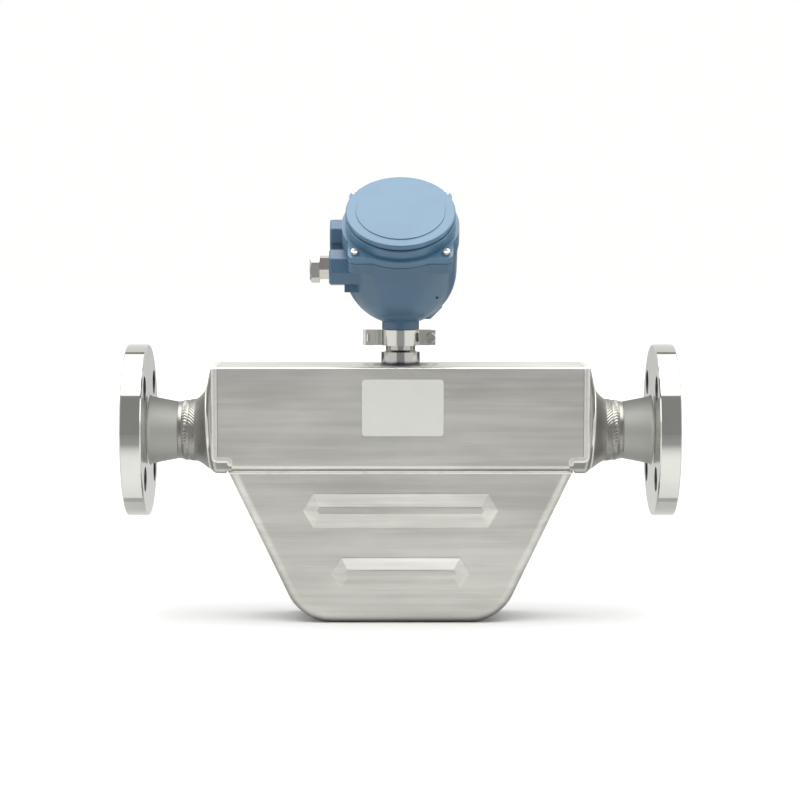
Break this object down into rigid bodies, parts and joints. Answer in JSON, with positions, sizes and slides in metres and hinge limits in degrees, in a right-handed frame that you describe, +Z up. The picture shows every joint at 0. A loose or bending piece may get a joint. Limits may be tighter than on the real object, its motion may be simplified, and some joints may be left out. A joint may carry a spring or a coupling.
{
  "type": "coriolis flow meter",
  "caption": "Flanged coriolis flow meter: a welded steel case with a tapered lower shell round bent flow tubes, and a tilted round electronics head on a clamped neck.",
  "frame": {"origin": "centre of the bore in the inlet sealing face", "axes": "+X along the pipe from inlet to outlet, +Z up through the neck, -Y towards the front"},
  "size_m": [0.4964, 0.1569, 0.3992],
  "materials": {
    "flange_steel": "turned",
    "weld_steel": "ground weld",
    "cast_steel": "blasted casting",
    "case_steel": "satin sheet",
    "clamp_steel": "satin",
    "screw_steel": "bright",
    "tube_steel": "drawn tube",
    "blue_paint": "satin enamel",
    "lid_paint": "satin enamel",
    "gland_metal": "nickel plated",
    "label_film": "matt",
    "seal_rubber": "matt",
    "coil_winding": "varnished",
    "magnet_metal": "plated",
    "potting": "potted",
    "terminal_plastic": "moulded"
  },
  "bodies": {
    "meter_body": {"inlet_flange": "flange_steel", "outlet_flange": "flange_steel", "inlet_weld": "weld_steel", "outlet_weld": "weld_steel", "inlet_manifold": "cast_steel", "outlet_manifold": "cast_steel", "case_box": "case_steel", "inlet_end_cap": "cast_steel", "outlet_end_cap": "cast_steel", "front_case_half": "case_steel", "rear_case_half": "case_steel", "label_plate": "label_film", "inlet_brace": "tube_steel", "outlet_brace": "tube_steel", "temperature_sensor": "tube_steel", "head_stub": "cast_steel", "joint_seal": "seal_rubber", "feedthrough": "magnet_metal", "clamp_front_half": "clamp_steel", "clamp_rear_half": "clamp_steel", "hinge_links": "clamp_steel", "hinge_pins": "screw_steel", "clamp_screw": "screw_steel"},
    "tube_front": {"flow_tube_front": "tube_steel", "coil_brackets": "tube_steel", "drive_coil": "coil_winding", "inlet_pickoff_coil": "coil_winding", "outlet_pickoff_coil": "coil_winding"},
    "tube_rear": {"flow_tube_rear": "tube_steel", "magnet_brackets": "tube_steel", "drive_magnet": "magnet_metal", "inlet_pickoff_magnet": "magnet_metal", "outlet_pickoff_magnet": "magnet_metal"},
    "head": {"housing": "blue_paint", "lid": "lid_paint", "lid_seal": "seal_rubber", "lid_screws": "screw_steel", "core_module": "potting", "module_screws": "screw_steel", "terminal_block": "terminal_plastic", "gland_body": "gland_metal", "gland_nut": "gland_metal", "gland_seal": "seal_rubber"}
  },
  "joints": [
    {"name": "head_turn", "type": "hinge", "parent": "meter_body", "child": "head", "pos_m": [0.2482, 0, 0.0841], "axis": [0, 0, 1], "range_deg": [-180, 180]},
    {"name": "front_tube_swing", "type": "hinge", "parent": "meter_body", "child": "tube_front", "pos_m": [0.2482, -0.015, 0], "axis": [1, 0, 0], "range_deg": [-0.15, 0.15], "stiffness_Nm_per_rad": 200},
    {"name": "rear_tube_swing", "type": "hinge", "parent": "meter_body", "child": "tube_rear", "pos_m": [0.2482, 0.015, 0], "axis": [1, 0, 0], "range_deg": [-0.15, 0.15], "stiffness_Nm_per_rad": 200}
  ],
  "couplings": [
    {"joint": "rear_tube_swing", "follows": "front_tube_swing", "ratio": -1}
  ]
}
